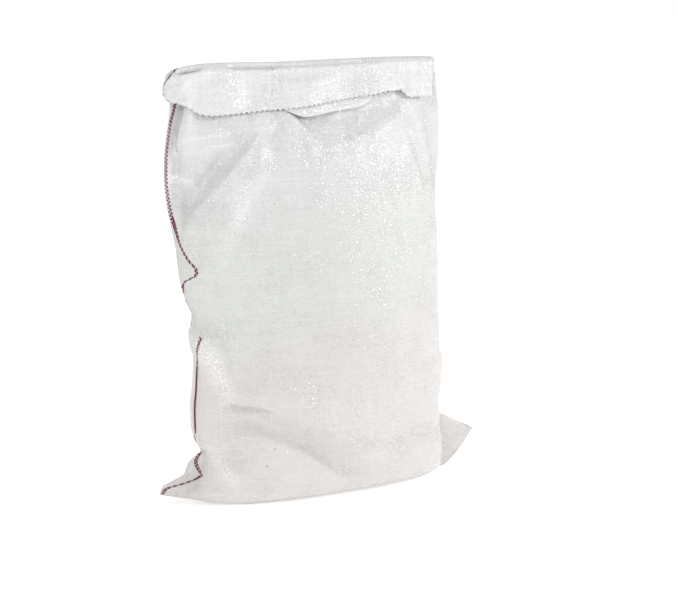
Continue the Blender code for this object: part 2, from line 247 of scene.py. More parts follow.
def spread_evenly(x, y, count):
    """Points at equal steps of length along each row's curve, count steps from end to end."""
    length = np.cumsum(np.hypot(np.diff(x), np.diff(y)), axis=1)
    length = np.concatenate([np.zeros((len(x), 1)), length], axis=1)
    share = length / length[:, -1:]
    apart = 2.0 * np.arange(len(x))[:, None]
    wanted = apart + np.linspace(0.0, 1.0, count + 1)
    run = (share + apart).ravel()
    return np.interp(wanted, run, x.ravel()), np.interp(wanted, run, y.ravel())


def level_rings(z, front):
    """Closed level sections at heights z, from the left fold along the front and back again.

    Their points lie at equal steps of length: front steps on the front, and half as many behind.
    """
    z = np.asarray(z)[:, None]
    left, right = steady(z, LEFT_FOLD), steady(z, RIGHT_FOLD)
    fine = (1 - np.cos(np.linspace(0.0, np.pi, FINE_STEPS * front + 1))) / 2
    x = -left + (left + right) * fine
    half = plain_depth(x, z)
    front_x, front_y = spread_evenly(x, half, front)
    back_x, back_y = spread_evenly(x, half, front // 2)
    across = np.concatenate([front_x, back_x[:, -2:0:-1]], axis=1)
    outward = np.concatenate([front_y, -back_y[:, -2:0:-1]], axis=1)
    return across, outward


def ear_rise(x, z):
    """How far the flat corners rise at x, less and less for the rows higher up."""
    rise = 0.0
    for side, (root, tip, height, bow) in ((-1, LEFT_EAR), (1, RIGHT_EAR)):
        share = np.clip((side * x - root) / (tip - root), 0.0, 1.0)
        rise = rise + height * share ** bow
    return rise * np.clip(1 - z / EAR_HEIGHT, 0.0, 1.0)


def neck_height(x):
    """Height of the sack's neck at x, below the crest of the fold."""
    return steady(x, CREST) - FOLD_RADIUS


def underside(front):
    """Rows under the sack, from the raised seam out to the floor's edge."""
    x, outward = level_rings([0.0], front)
    share = np.array(SEAM_SHARES)[:, None]
    across = x * (1 - SEAM_INSET * (1 - share))
    z = ear_rise(across, 0.0) + SEAM_RAISE * (1 - ease(share, 0.0, SEAM_SHARES[2]))
    return np.stack([across, -outward * share, z], axis=2)


def body_rows(front, rows):
    """Rows up the body, closer together near the floor; the top ones meet the sloping neck."""
    level = row_heights(rows)[:, None]
    x, outward = level_rings(level[:, 0], front)
    z = level + ear_rise(x, level)
    z = z + (neck_height(x) - NECK) * ease(level, NECK_SLOPE_FROM, NECK)
    return np.stack([x, -outward, z], axis=2)


def flap_across(x, share):
    """The mouth widens a little as it folds over: x moves towards the flap's own two ends."""
    left, right = LEFT_FOLD[-1][1], RIGHT_FOLD[-1][1]
    wide = FLAP_LEFT + (FLAP_RIGHT - FLAP_LEFT) * (x + left) / (left + right)
    return x + (wide - x) * share


def bend_rows(front, rows):
    """Rows over the top: half circles about a level line in front of the neck."""
    x, outward = level_rings([NECK], front)
    turn = bend_turns(rows)
    across = flap_across(x, turn / np.pi)
    reach = FOLD_RADIUS - outward
    y = -FOLD_RADIUS + reach * np.cos(turn)
    z = neck_height(across) + reach * np.sin(turn)
    return np.stack([across, y, z], axis=2)


def flap_face(x, z, half):
    """Distance in front of the neck of a flap of that half thickness, clear of the body behind."""
    resting = body_depth(x, z) + steady(x, FLAP_GAP) + half
    return np.cbrt((2 * FOLD_RADIUS) ** 3 + resting ** 3)


def flap_rows(front, shares, closing=0.0):
    """Rows down the flap. The back panel is its face, and the front panel lines it.

    A closing of 1 brings each layer's surface and its two ends inwards by the cloth's own
    thickness, for the inner faces at the mouth.
    """
    x, outward = level_rings([NECK], front)
    layer = np.sign(np.where(np.abs(outward) < TINY, 0.0, outward))
    share = np.asarray(shares)[:, None]
    middle, reach = (FLAP_RIGHT + FLAP_LEFT) / 2, (FLAP_RIGHT - FLAP_LEFT) / 2
    across = middle + (flap_across(x, 1.0) - middle) * (1 - closing * CLOTH_WALL / reach)
    top = neck_height(across)
    hem = steady(across, FLAP_HEM) - np.where(layer > 0, steady(across, LINING_DROP), 0.0)
    tooth = np.where((layer < 0) & (np.arange(x.shape[1]) % 2 == 1), TOOTH_DEPTH, 0.0)
    z = top - (top - hem) * share + tooth * ease(share, TEETH_FROM, 1.0)
    half = FLAP_HALF + (steady(across, HEM_HALF) - FLAP_HALF) * share
    y = -flap_face(across, z, half) + layer * (half - CLOTH_WALL * closing)
    settle = ease(share, 0.0, FLAP_SETTLES)
    start = -2 * FOLD_RADIUS + outward
    return np.stack([across + 0 * z, start + (y - start) * settle, z], axis=2)


def whole_cloth(front, rows, bend, flap):
    """All rows of the cloth's skin, from the seam below to the inner faces at the mouth."""
    return np.concatenate(
        [
            underside(front),
            body_rows(front, rows),
            bend_rows(front, bend),
            flap_rows(front, shares(flap)),
            flap_rows(front, MOUTH_SHARES, closing=1.0),
        ]
    )


# Folds of the cloth: kind, width, height and the path on the front as (x, z). A ridge stands
# out, a groove sinks in, a ledge does both, and a crest is level on the left of its path and
# drops off on the right.
CREASES = crease_table(
    (
        "crest", 18, 22.5, (-132, 622), (-150, 596), (-169, 575), (-198, 548), (-217, 529), (-235, 509),
        (-249, 493), (-256, 480), (-254, 462), (-247, 436),
    ),
    ("groove", 20, -11, (-188, 592), (-215, 556), (-238, 528), (-256, 500), (-262, 466)),
    ("crest", 3.2, 22, (-243, 672), (-249, 647), (-256, 622), (-264, 598), (-271, 566)),
    ("ridge", 10, 13, (-231, 690), (-239, 652), (-250, 618), (-264, 574)),
    ("ridge", 15, 6.2, (-133, 612), (-148, 556), (-169, 515), (-190, 492), (-198, 448)),
    ("ridge", 4.5, 2.8, (-268, 536), (-257, 541), (-245, 535), (-236, 525)),
    ("groove", 5, -2, (-266, 546), (-252, 551), (-238, 546)),
    ("ridge", 3, 1, (-246, 602), (-196, 612), (-146, 617)),
    ("ridge", 3, 0.9, (-243, 584), (-188, 592), (-138, 600)),
    ("groove", 12, -5, (140, 640), (150, 600), (164, 555), (180, 505)),
    ("ridge", 18, 4, (-240, 300), (-227, 268), (-215, 231), (-195, 195)),
    ("ridge", 7, 3.2, (-238, 296), (-224, 256), (-208, 220), (-204, 186)),
    ("crest", 3.2, 19, (-216, 189), (-206, 186), (-192, 182), (-170, 178), (-140, 172)),
    ("groove", 22, -9, (-216, 176), (-170, 160), (-110, 132), (-50, 92), (0, 60)),
    ("ledge", 28, 12, (-230, 192), (-150, 164), (-75, 120), (-20, 80), (60, 35)),
    ("ridge", 12, 3.5, (-236, 122), (-224, 96), (-206, 64), (-180, 30)),
    ("ridge", 4, 1, (-205, 44), (-128, 38), (-50, 34), (50, 30), (205, 16)),
)
# Folds of the hanging flap, which move both its layers
FLAP_CREASES = crease_table(
    ("crest", 6, 7.5, (150, 655), (132, 667), (102, 689), (60, 702), (10, 714)),
    ("ledge", 35, 5.5, (-40, 630), (0, 680), (34, 724)),
    ("groove", 6, -1.8, (118, 668), (134, 669), (168, 676), (206, 671)),
    ("ridge", 16, 7, (-268, 703), (-266, 686), (-258, 664)),
    ("groove", 11, -4, (-232, 712), (-236, 684), (-238, 650)),
    ("ridge", 24, 4.5, (-196, 704), (-186, 672), (-190, 642)),
    ("groove", 18, -2.5, (-140, 712), (-150, 678), (-138, 646)),
    ("ridge", 22, 3.5, (-92, 706), (-86, 676), (-90, 648)),
)
# How far the roll sinks across the sack, at which angle of the bend, and over what spread
TOP_SINK = metres(
    (-291, 0), (-268, 1), (-256, 15), (-236, 15), (-220, 2), (-182, 2), (-164, 14), (-112, 14),
    (-88, 4.5), (35, 3.8), (110, 1.2), (193, 0.4),
)
SINK_TURN = 2.35
SINK_SPREAD = 0.36
# Hollow under the flap: its steep left wall from the top down, and its gentle right rim;
# its depth, how its walls run out, where it fades upwards, and the lip's height and width
DENT_LEFT = metres((-110, 668), (-74, 634), (-56, 615), (-45, 600), (-36, 586), (-20, 555))
DENT_RIGHT = metres(
    (-100, 596), (-36, 586), (-2, 588), (41, 598), (83, 619), (115, 637), (146, 666), (158, 690),
)
DENT_DEPTH = 0.0135
DENT_WALLS = (0.0050, 0.0360)
DENT_FADE = (0.630, 0.670)
DENT_LIP = (0.0026, 0.012)
# Shares of a path between which the hollow's lip, and any crease, comes in and goes out, and
# the same for all folds over the body's rows
DENT_RIM = (0.35, 0.6, 0.8, 1.0)
CREASE_ENDS = (0.0, 0.2, 0.8, 1.0)
BODY_FOLDS = (0.0, 0.04, 0.955, 1.0)
# Radius of a crest's edge, and how many of its widths it takes to come back
CREST_ROUND = 0.0012
CREST_REACH = 3.2
# Least gap between the panels where they are pressed together
PANELS_APART = 0.0012
# Share of half the panel's width that stays flat beside the side fold
FLAT_EDGE = (0.026, 0.115)

# Where the coloured tapes run: the distance round from the side fold, positive to the front
TRACER_OFFSET = metres(
    (0, 2), (14, 6), (28, 20), (40, 29), (47, 30), (52, 23), (70, 12), (88, 2), (97, -10), (114, -12),
    (124, 1), (141, 4), (158, 4), (208, 4), (241, 6), (264, 20), (288.5, 33), (290.5, 33), (296, -20),
    (320, -26), (338, -20), (352, -4), (366, 2), (376, 10), (394.5, 41), (400, 41), (415, 28),
    (431, 18), (447, 10), (472, 6), (495, 4), (540, 3.5), (590, 3.5), (627, 4), (644, 7), (658, 10),
    (680, 8), (706, 2),
)
TRACER_ON_BEND = (
    (0.0, 0.002), (0.30, -0.008), (0.50, -0.020), (0.60, -0.018), (0.85, -0.004), (1.0, 0.005),
)
# Rows that the UV map's slide is averaged over, and how far round the cloth it spreads
UV_BLEND = 31
TRACER_SPREAD = 0.080
# Weave: 180 tapes to a panel. Each coloured tape fills this part of its width, is so thick and
# waves so far, in so many steps; between two heights it is tucked in behind the cloth
TAPE_PITCH = PANEL / 180
TRACER_WIDTH = 0.0030
TRACER_SPAN = (0.05, 0.95)
TRACER_THICK = 0.00025
TRACER_WAVE = 0.00032
TRACER_STEPS = 1800
TRACER_TUCK = (0.2895, 0.3000)
TUCK_DEPTH = 0.0016
TUCK_EDGE = 0.001

# Cloth simulation: the coarse copy's columns and rows, how long it runs, the share of its body
# that is free to move, its cloth's settings, and how far it may move the skin
SIM_COLUMNS = 110
SIM_ROWS = 98
SIM_BEND_ROWS = 6
SIM_FLAP_ROWS = 8
SIM_FRAMES = 20
SIM_FREE = (0.0, 0.05, 0.90, 0.99)
SIM_CLOTH = dict(
    quality=5, mass=0.15, tension_stiffness=25, compression_stiffness=25, shear_stiffness=10,
    bending_stiffness=0.4, use_pressure=True, vertex_group_mass="held",
)
SIM_CAP = 0.0030
# Rounds of averaging that find the soft swell, and where the folds fade at the side folds
RIPPLE_ROUNDS = 30
RIPPLE_EDGE = (0.10, 0.30)


def path_distance(x, z, path):
    """Signed distance from a path, positive on its left, and the share of its length reached.

    It takes the nearest of the distances to the path's straight spans.
    """
    start, end = np.array(path[:-1]), np.array(path[1:])
    span = end - start
    length = np.hypot(span[:, 0], span[:, 1])
    from_x, from_z = x[..., None] - start[:, 0], z[..., None] - start[:, 1]
    t = np.clip((from_x * span[:, 0] + from_z * span[:, 1]) / length ** 2, 0.0, 1.0)
    away = np.hypot(from_x - t * span[:, 0], from_z - t * span[:, 1])
    side = np.sign(span[:, 0] * from_z - span[:, 1] * from_x)
    reached = np.cumsum(length) - length + t * length
    nearest = np.argmin(away, axis=-1)[..., None]
    distance = np.take_along_axis(away * side, nearest, -1)[..., 0]
    along = np.take_along_axis(reached, nearest, -1)[..., 0] / length.sum()
    return distance, along


def crease_height(kind, s, width):
    """Cross-section of a fold at signed distance s.

    A bell curve for a ridge or a groove, and its slope for a ledge. A crest is level on its
    left, and on its right it drops off like a decaying curve and comes back under a bell.
    """
    if kind == "ledge":
        return s / width * np.exp(0.5 - 0.5 * (s / width) ** 2)
    if kind == "crest":
        rounded = np.hypot(np.minimum(s, 0.0), CREST_ROUND) - CREST_ROUND
        return -(1 - np.exp(-rounded / width)) * np.exp(-((s / (CREST_REACH * width)) ** 2))
    return np.exp(-((s / width) ** 2))


def dent_height(x, z):
    """The hollow under the flap: it drops off inside both its edges like decaying curves.

    The drop is short along the left wall and long inside the right rim, and it fades upwards.
    A low bell stands up outside the right rim, the last of the two paths.
    """
    depth = DENT_DEPTH * (1 - ease(z, *DENT_FADE))
    for path, wall in zip((DENT_LEFT, DENT_RIGHT), DENT_WALLS):
        s, along = path_distance(x, z, path)
        inner = np.hypot(np.maximum(s, 0.0), CREST_ROUND) - CREST_ROUND
        depth = depth * (1 - np.exp(-inner / wall))
    rise, spread = DENT_LIP
    rim = rise * np.exp(-(((s + spread) / spread) ** 2))
    return rim * plateau(along, *DENT_RIM) - depth


def crease_sum(x, z, creases):
    """The heights of all creases together: each fades out towards both ends of its path."""
    height = np.zeros_like(x)
    for kind, width, size, path in creases:
        s, along = path_distance(x, z, path)
        height += size * crease_height(kind, s, width) * plateau(along, *CREASE_ENDS)
    return height


def normals_of(points):
    """Outward unit normals of a closed grid of points, from differences across and along it."""
    across = np.roll(points, -1, axis=1) - np.roll(points, 1, axis=1)
    along = np.gradient(points, axis=0)
    normal = np.cross(across, along)
    return normal / np.maximum(np.linalg.norm(normal, axis=2, keepdims=True), TINY_AREA)


def folded_cloth(front, rows, bend, flap):
    """The cloth with its folds: the plain skin moved along its normals.

    The body moves by the hollow and all creases together, less and less towards the side
    folds, the floor and the neck, and where it sinks it stays clear of the back. The roll
    sinks towards its own middle by a table across times a bell round one angle of the bend.
    The flap moves straight out or in by its own creases.
    """
    points = whole_cloth(front, rows, bend, flap)
    x, z = points[..., 0], points[..., 2]
    column = np.arange(points.shape[1])
    facing = np.where(column <= front, np.sin(np.pi * np.clip(column / front, 0, 1)), 0.0)
    facing = ease(facing, *FLAT_EDGE)[None, :]
    start = len(SEAM_SHARES)
    lower = slice(start, start + rows)
    body = np.zeros(len(points))
    body[lower] = plateau(shares(rows), *BODY_FOLDS)
    height = (dent_height(x, z) + crease_sum(x, z, CREASES)) * facing * body[:, None]
    points = points + normals_of(points) * height[..., None]
    behind = plain_depth(x[lower], z[lower])
    nearest = np.where(height[lower] < 0, behind - PANELS_APART, points[lower, :, 1])
    points[lower, :, 1] = np.minimum(points[lower, :, 1], nearest)
    roll = slice(start + rows, start + rows + bend)
    turn = bend_turns(bend)
    sink = steady(x[roll], TOP_SINK) * np.exp(-(((turn - SINK_TURN) / SINK_SPREAD) ** 2))
    points[roll, :, 1] -= sink * np.cos(turn)
    points[roll, :, 2] -= sink * np.sin(turn)
    hang = slice(start + rows + bend, None)
    loose = ease(neck_height(x[hang]) - z[hang], 0.0, FLAP_LOOSE)
    points[hang, :, 1] -= crease_sum(x[hang], z[hang], FLAP_CREASES) * loose
    return points


def grid_faces(rows, columns):
    """Quads of a grid closed round its columns, turned outwards."""
    row, column = np.meshgrid(np.arange(rows - 1), np.arange(columns), indexing="ij")
    beside = (column + 1) % columns
    corners = (row * columns + column, row * columns + beside)
    above = ((row + 1) * columns + beside, (row + 1) * columns + column)
    return np.stack(corners + above, axis=-1).reshape(-1, 4)


def end_faces(first, front, upwards):
    """Triangles that join a ring's front half to its back half, two front steps to one behind."""
    columns = front + front // 2
    k = np.arange(front // 2)
    f0, f1, f2 = first + 2 * k, first + 2 * k + 1, first + 2 * k + 2
    b0 = first + (columns - k) % columns
    b1 = np.where(k == front // 2 - 1, first + front, first + (columns - k - 1) % columns)
    near = np.stack([f0, f1, b0], axis=1)[1:]
    middle = np.stack([b0, f1, b1], axis=1)
    far = np.stack([f1, f2, b1], axis=1)[:-1]
    faces = np.concatenate([near, middle, far])
    return faces if upwards else faces[:, ::-1]


def new_object(name, data):
    """An object for its data, linked into the scene's collection."""
    item = bpy.data.objects.new(name, data)
    bpy.context.collection.objects.link(item)
    return item


def skin_object(name, points, front):
    """A closed mesh from a grid of points, with both its ends joined up."""
    rows, columns = points.shape[:2]
    quads = grid_faces(rows, columns)
    bottom = end_faces(0, front, False)
    top = end_faces((rows - 1) * columns, front, True)
    mesh = bpy.data.meshes.new(name)
    faces = [tuple(f) for part in (quads, bottom, top) for f in part.tolist()]
    mesh.from_pydata(points.reshape(-1, 3) + PLACE, [], faces)
    mesh.shade_smooth()
    return new_object(name, mesh)


def round_shares(front, closed=False):
    """The columns as shares of a panel: 0 to 1 on the front and on to 2 behind.

    A closed run ends with the column that meets the first one again.
    """
    back = front // 2
    return np.concatenate([np.arange(front) / front, 1 + np.arange(back + closed) / back])


def weave_lengths(points, front):
    """Distances over the cloth: round it from the side fold, and up it from the seam."""
    round_it = round_shares(front, closed=True) * PANEL
    step = np.linalg.norm(np.diff(points, axis=0), axis=2)
    up_it = np.concatenate([[0.0], np.cumsum(np.median(step, axis=1))])
    return round_it, up_it


def tracer_offsets(rows, bend, flap):
    """The coloured tapes' distance from the side fold for every row of the cloth."""
    below = np.full(len(SEAM_SHARES), TRACER_OFFSET[0][1])
    over = steady(shares(bend), TRACER_ON_BEND)
    hanging = np.full(flap + len(MOUTH_SHARES), TRACER_ON_BEND[-1][1])
    return np.concatenate([below, steady(row_heights(rows), TRACER_OFFSET), over, hanging])


def blended(values, count):
    """Running averages of count neighbours, an odd number, with the ends held."""
    padded = np.pad(values, count // 2, mode="edge")
    return np.convolve(padded, np.full(count, 1.0 / count), mode="valid")


def weave_uv(item, points, front, offset):
    """A UV map in metres: lengths round the cloth and up it.

    Near the side fold it slides along with the coloured tapes, less and less under a bell.
    """
    round_it, up_it = weave_lengths(points, front)
    rows, columns = points.shape[:2]
    row, column = np.divmod(np.arange(rows * columns), columns)
    index = np.empty(len(item.data.loops), dtype=int)
    item.data.loops.foreach_get("vertex_index", index)
    first = np.empty(len(item.data.polygons), dtype=int)
    total = np.empty(len(item.data.polygons), dtype=int)
    item.data.polygons.foreach_get("loop_start", first)
    item.data.polygons.foreach_get("loop_total", total)
    polygon = np.repeat(np.arange(len(first)), total)
    c = column[index]
    last = np.zeros(len(first), dtype=bool)
    np.logical_or.at(last, polygon, c == columns - 1)
    c = np.where(last[polygon] & (c == 0), columns, c)
    u, v = round_it[c], up_it[row[index]]
    shift = offset[row[index]]
    u = u - shift * np.exp(-((u - shift) / TRACER_SPREAD) ** 2)
    u = u - shift * np.exp(-((u - 2 * PANEL - shift) / TRACER_SPREAD) ** 2)
    layer = item.data.uv_layers.new(name="weave")
    layer.uv.foreach_set("vector", np.stack([u, v], axis=1).astype(np.float32).ravel())


def smoothing_weights(fine, coarse):
    """A matrix that spreads values at coarse places onto fine ones by straight lines."""
    gap = np.abs(fine[:, None] - coarse[None, :])
    step = coarse[1] - coarse[0]
    weight = np.clip(1 - gap / step, 0.0, 1.0)
    return weight / weight.sum(axis=1, keepdims=True)


def simulated_shift(pressure, growth):
    """Let a coarse copy of the cloth settle under the fill's push; return the body's movement."""
    coarse = folded_cloth(SIM_COLUMNS, SIM_ROWS, SIM_BEND_ROWS, SIM_FLAP_ROWS)
    item = skin_object("settling_cloth", coarse, SIM_COLUMNS)
    rows, columns = coarse.shape[:2]
    start = len(SEAM_SHARES)
    held = np.ones(rows)
    held[start:start + SIM_ROWS] = 1 - plateau(shares(SIM_ROWS), *SIM_FREE)
    group = item.vertex_groups.new(name="held")
    for row in range(rows):
        group.add(list(range(row * columns, (row + 1) * columns)), float(held[row]), "REPLACE")
    cloth = item.modifiers.new("Settle", "CLOTH")
    settings = cloth.settings
    for name, value in SIM_CLOTH.items():
        setattr(settings, name, value)
    settings.uniform_pressure_force = pressure
    settings.shrink_min = -growth
    settings.shrink_max = -growth
    settings.effector_weights.gravity = 0.0
    cloth.collision_settings.use_collision = False
    scene = bpy.context.scene
    for number in range(1, SIM_FRAMES + 1):
        scene.frame_set(number)
    moved = np.empty(rows * columns * 3)
    result = item.evaluated_get(bpy.context.evaluated_depsgraph_get())
    result.data.vertices.foreach_get("co", moved)
    shift = moved.reshape(rows, columns, 3) - PLACE - coarse
    mesh = item.data
    bpy.data.objects.remove(item)
    bpy.data.meshes.remove(mesh)
    scene.frame_set(1)
    return shift[start:start + SIM_ROWS]


def ripples(shift):
    """What is left of a movement once its own soft average is taken off: the folds, not the swell.

    The average comes from many rounds in which each point takes the mean of itself and its
    four neighbours. The folds are held under a cap by a hyperbolic tangent of their length,
    and fade out towards the two side folds.
    """
    soft = shift
    for _ in range(RIPPLE_ROUNDS):
        above, below = np.concatenate([soft[1:], soft[-1:]]), np.concatenate([soft[:1], soft[:-1]])
        soft = (np.roll(soft, 1, axis=1) + np.roll(soft, -1, axis=1) + above + below + soft) / 5
    fold = shift - soft
    length = np.linalg.norm(fold, axis=2, keepdims=True)
    fold = fold * SIM_CAP * np.tanh(length / SIM_CAP) / np.maximum(length, TINY)
    front, back = np.arange(SIM_COLUMNS) / SIM_COLUMNS, np.arange(SIM_COLUMNS // 2) / (SIM_COLUMNS // 2)
    inside = np.sin(np.pi * np.concatenate([front, back]))
    return fold * ease(inside, *RIPPLE_EDGE)[None, :, None]


def spread_shift(shift, front, rows):
    """Carry the coarse movement over to the fine cloth's body rows and columns."""
    up = smoothing_weights(np.arange(1, rows + 1) / rows, np.arange(1, SIM_ROWS + 1) / SIM_ROWS)
    round_fine, round_coarse = round_shares(front), round_shares(SIM_COLUMNS, closed=True)
    closed = np.concatenate([shift, shift[:, :1]], axis=1)
    k = np.clip(np.searchsorted(round_coarse, round_fine, side="right") - 1, 0, len(round_coarse) - 2)
    t = ((round_fine - round_coarse[k]) / (round_coarse[k + 1] - round_coarse[k]))[None, :, None]
    across = closed[:, k] * (1 - t) + closed[:, k + 1] * t
    return np.einsum("fc,cnd->fnd", up, across)


def cloth_points(settle, pressure, growth):
    """The finished skin: folds, then the settled movement of its body."""
    points = folded_cloth(FRONT_COLUMNS, BODY_ROWS, BEND_ROWS, FLAP_ROWS)
    if settle:
        start = len(SEAM_SHARES)
        shift = ripples(simulated_shift(pressure, growth))
        points[start:start + BODY_ROWS] += spread_shift(shift, FRONT_COLUMNS, BODY_ROWS)
    points[..., 2] = np.maximum(points[..., 2], 0.0)
    return points


def on_grid(grid, row, column):
    """Values of a closed grid at fractional rows and columns, straight between its points."""
    columns = grid.shape[1]
    row = np.clip(row, 0, grid.shape[0] - 1 - TINY)
    r = np.floor(row).astype(int)
    c = np.floor(column).astype(int)
    s, t = (row - r)[..., None], (column - c)[..., None]
    c0, c1 = c % columns, (c + 1) % columns
    low = grid[r, c0] * (1 - t) + grid[r, c1] * t
    high = grid[r + 1, c0] * (1 - t) + grid[r + 1, c1] * t
    return low * (1 - s) + high * s


def round_column(distance):
    """The column at a distance round from the side fold, negative distances on the back."""
    back = FRONT_COLUMNS // 2
    return np.where(distance >= 0, distance / PANEL * FRONT_COLUMNS, distance / PANEL * back)


def tracer_points(points, side):
    """A flat tape woven beside the fold's line: out over one weft tape and in under the next.

    It rides on the cloth by a cosine wave of two tapes' length, dips under it where it is
    tucked in, and ends two rows above the hem.
    """
    normal = normals_of(points)
    offset = tracer_offsets(BODY_ROWS, BEND_ROWS, FLAP_ROWS)
    _, up_it = weave_lengths(points, FRONT_COLUMNS)
    first, last = len(SEAM_SHARES), len(points) - len(MOUTH_SHARES) - 2
    height = np.linspace(up_it[first], up_it[last], TRACER_STEPS)
    row = np.interp(height, up_it, np.arange(len(up_it)))
    line = np.interp(row, np.arange(len(offset)), offset)
    wave = side * TRACER_WAVE * np.cos(np.pi * height / TAPE_PITCH)
    low, high = TRACER_TUCK
    level = np.interp(row, np.arange(len(points)), points[:, 0, 2])
    wave = wave - TUCK_DEPTH * plateau(level, low, low + TUCK_EDGE, high - TUCK_EDGE, high)
    near, far = TRACER_SPAN
    corners = []
    for across, lift in ((near, 0.0), (far, 0.0), (far, TRACER_THICK), (near, TRACER_THICK)):
        column = round_column(line + side * across * TRACER_WIDTH)
        base = on_grid(points, row, column)
        out = on_grid(normal, row, column)
        corners.append(base + out * (wave + lift)[:, None])
    return np.stack(corners, axis=1)


def tube_object(name, rings):
    """A closed mesh from rings of points along a path, with flat ends, its normals outwards."""
    count, sides = rings.shape[:2]
    quads = grid_faces(count, sides).tolist()
    ends = [list(range(sides))[::-1], [(count - 1) * sides + k for k in range(sides)]]
    mesh = bpy.data.meshes.new(name)
    mesh.from_pydata(rings.reshape(-1, 3) + PLACE, [], quads + ends)
    item = new_object(name, mesh)
    face_outwards(item)
    return item


def face_outwards(item):
    """Turn a closed mesh's faces outwards if its signed volume says that they point in."""
    mesh = item.data
    mesh.calc_loop_triangles()
    points = np.empty(len(mesh.vertices) * 3)
    mesh.vertices.foreach_get("co", points)
    corners = np.empty(len(mesh.loop_triangles) * 3, dtype=int)
    mesh.loop_triangles.foreach_get("vertices", corners)
    a, b, c = points.reshape(-1, 3)[corners.reshape(-1, 3)].transpose(1, 0, 2)
    if np.einsum("ij,ij->", a, np.cross(b, c)) < 0:
        mesh.flip_normals()


# Rubble inside: its columns and rows, its gap to the cloth, in front and times more at the
# sides, its lowest and highest level, its stones, how deep and wide the joints between them
# are, the start of its random draws, and the least share of its depth that folds leave it
RUBBLE_GRID = (150, 84)
RUBBLE_GAP = 0.019
RUBBLE_SIDES = 1.4
RUBBLE_FLOOR = 0.013
RUBBLE_TOP = 0.560
RUBBLE_STONES = 420
RUBBLE_RELIEF = 0.007
RUBBLE_JOINT = 0.012
RUBBLE_DRAW = 7
RUBBLE_LEAST = 0.2
# Sewing thread under the sack, and the steps in which its sides and its stitches are modelled
THREAD_ENDS = (-0.205, 0.205)
THREAD_RADIUS = 0.0005
THREAD_HEIGHT = 0.0013
STITCH_LENGTH = 0.008
STITCH_SWAY = 0.0005
THREAD_SIDES = 8
STITCH_STEPS = 8


def rubble_points(columns, rows):
    """A heap of broken stones that fills the sack: rounded cells round scattered middles.

    A point sinks by how near it is to the border between its two nearest middles, and at the
    front it moves in with the cloth's grooves.
    """
    level = np.linspace(RUBBLE_FLOOR, RUBBLE_TOP, rows)
    turn = np.linspace(0.0, 2 * np.pi, columns, endpoint=False)
    left, right = steady(level, LEFT_BODY)[:, None], steady(level, RIGHT_BODY)[:, None]
    c, s = np.cos(turn), np.sin(turn)
    sides = [steady(level, table)[:, None] for table in (LEFT_SQUARENESS, RIGHT_SQUARENESS)]
    n = np.where(c > 0, *sides)
    half = (left + right) / 2 - RUBBLE_SIDES * RUBBLE_GAP
    depth = steady(level, BODY_DEPTH)[:, None] - RUBBLE_GAP
    x = (right - left) / 2 - half * np.sign(c) * np.abs(c) ** (2 / n)
    y = -depth * np.sign(s) * np.abs(s) ** (2 / n)
    points = np.stack([x, y, level[:, None] + 0 * x], axis=2)
    random = np.random.default_rng(RUBBLE_DRAW)
    pick = random.integers(0, rows * columns, RUBBLE_STONES)
    middles = points.reshape(-1, 3)[pick]
    gap = np.linalg.norm(points[:, :, None, :] - middles, axis=3)
    nearest = np.partition(gap, 1, axis=2)[..., :2]
    border = nearest[..., 1] - nearest[..., 0]
    sink = RUBBLE_RELIEF * (1 - ease(border, 0.0, RUBBLE_JOINT))
    points = points - normals_of(points) * sink[..., None]
    x, y, z = points[..., 0], points[..., 1], points[..., 2]
    pressed = np.minimum(crease_sum(x, z, CREASES) + dent_height(x, z), 0.0)
    points[..., 1] = np.where(y < 0, np.minimum(y - pressed, RUBBLE_LEAST * y), y)
    return points


def thread_points():
    """The bottom seam's thread: a thin round cord that sways from stitch to stitch."""
    x = np.arange(*THREAD_ENDS, STITCH_LENGTH / STITCH_STEPS)
    sway = STITCH_SWAY * np.sin(2 * np.pi * x / STITCH_LENGTH)
    turn = np.arange(THREAD_SIDES) * 2 * np.pi / THREAD_SIDES
    y = sway[:, None] + THREAD_RADIUS * np.cos(turn)
    z = THREAD_HEIGHT + ear_rise(x, 0.0)[:, None] + THREAD_RADIUS * np.sin(turn)
    return np.stack([x[:, None] + 0 * y, y, z], axis=2)


class Value:
    """A node's output that takes part in sums: each operator adds one Math node."""

    def __init__(self, tree, socket):
        self.tree = tree
        self.socket = socket

    def maths(self, operation, *values):
        """A Math node with these values, in their order, as its inputs."""
        inputs = dict(enumerate(values))
        return node(self.tree, "ShaderNodeMath", {"operation": operation}, inputs)

    def __add__(self, other):
        return self.maths("ADD", self, other)

    def __radd__(self, other):
        return self.maths("ADD", other, self)

    def __sub__(self, other):
        return self.maths("SUBTRACT", self, other)

    def __rsub__(self, other):
        return self.maths("SUBTRACT", other, self)

    def __mul__(self, other):
        return self.maths("MULTIPLY", self, other)

    def __truediv__(self, other):
        return self.maths("DIVIDE", self, other)

    def __pow__(self, other):
        return self.maths("POWER", self, other)

    def output(self, index):
        return Value(self.tree, self.socket.node.outputs[index])

    def floor(self):
        return self.maths("FLOOR", self)

    def sine(self):
        return self.maths("SINE", self)

    def exponent(self):
        return self.maths("EXPONENT", self)

    def at_least(self, low):
        return self.maths("MAXIMUM", self, low)

    def remainder(self, other):
        return self.maths("FLOORED_MODULO", self, other)


def node(tree, kind, settings=None, inputs=None, output=0):
    """Add a node: its settings first, then its sockets' values or links; return one output."""
    made = tree.nodes.new(kind)
    for name, value in (settings or {}).items():
        if name == "stops":
            fill_ramp(made.color_ramp, value)
        else:
            setattr(made, name, value)
    for name, value in (inputs or {}).items():
        if isinstance(value, Value):
            tree.links.new(value.socket, made.inputs[name])
        else:
            made.inputs[name].default_value = value
    return Value(tree, made.outputs[output])


